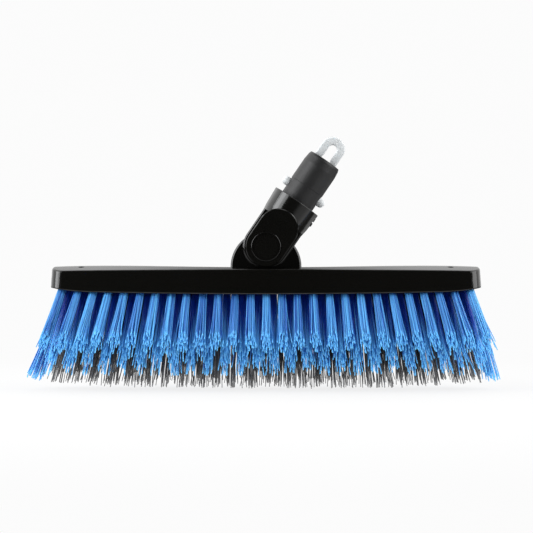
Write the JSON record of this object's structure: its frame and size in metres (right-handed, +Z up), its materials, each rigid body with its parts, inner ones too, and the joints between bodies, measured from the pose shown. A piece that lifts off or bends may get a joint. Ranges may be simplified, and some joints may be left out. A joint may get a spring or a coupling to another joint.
{
  "type": "pool wall brush",
  "caption": "Wide pool wall brush: a glossy block with fanned rows of bristle tufts, and a tilting yoke whose spigot and spring clip lock into a telescopic pole",
  "frame": {"origin": "middle of the plane the longest bristle tips stand on", "axes": "+X along the block, the front of the brush faces -Y, +Z up from the bristle tips to the handle; the pivot runs along Y"},
  "size_m": [0.4076, 0.104, 0.2156],
  "materials": {
    "black_gloss": "polished moulded plastic",
    "spigot_plastic": "matte moulded plastic",
    "blue_bristle": "nylon filament",
    "black_bristle": "nylon filament",
    "clip_nylon": "natural nylon, slightly translucent",
    "steel": "stainless",
    "screw_steel": "black oxide"
  },
  "bodies": {
    "brush_head": {"brush_block": "black_gloss", "front_blue_tufts": "blue_bristle", "front_inner_blue_tufts": "blue_bristle", "centre_black_tufts": "black_bristle", "centre_end_tufts": "blue_bristle", "rear_inner_blue_tufts": "blue_bristle", "rear_blue_tufts": "blue_bristle", "front_staples": "steel", "front_inner_staples": "steel", "centre_staples": "steel", "rear_inner_staples": "steel", "rear_staples": "steel"},
    "handle": {"handle_yoke": "black_gloss", "pivot_bolt": "steel", "pivot_nut": "steel", "front_washer": "steel", "rear_washer": "steel", "front_pivot_cap": "black_gloss", "rear_pivot_cap": "black_gloss", "pole_spigot": "spigot_plastic", "spigot_screw": "screw_steel", "clip_bend": "clip_nylon"},
    "clip_left": {"clip_left_arm": "clip_nylon"},
    "clip_right": {"clip_right_arm": "clip_nylon"}
  },
  "joints": [
    {"name": "handle_tilt", "type": "hinge", "parent": "brush_head", "child": "handle", "pos_m": [0, 0, 0.1215], "axis": [0, 1, 0], "range_deg": [-94.3, 25.7]},
    {"name": "clip_left", "type": "hinge", "parent": "handle", "child": "clip_left", "pos_m": [0.05107, 0, 0.20905], "axis": [0, -1, 0], "range_deg": [0, 8], "stiffness_Nm_per_rad": 2.5, "springref_deg": -1.72},
    {"name": "clip_right", "type": "hinge", "parent": "handle", "child": "clip_right", "pos_m": [0.06288, 0, 0.20099], "axis": [0, 1, 0], "range_deg": [0, 8], "stiffness_Nm_per_rad": 2.5, "springref_deg": -1.72}
  ]
}
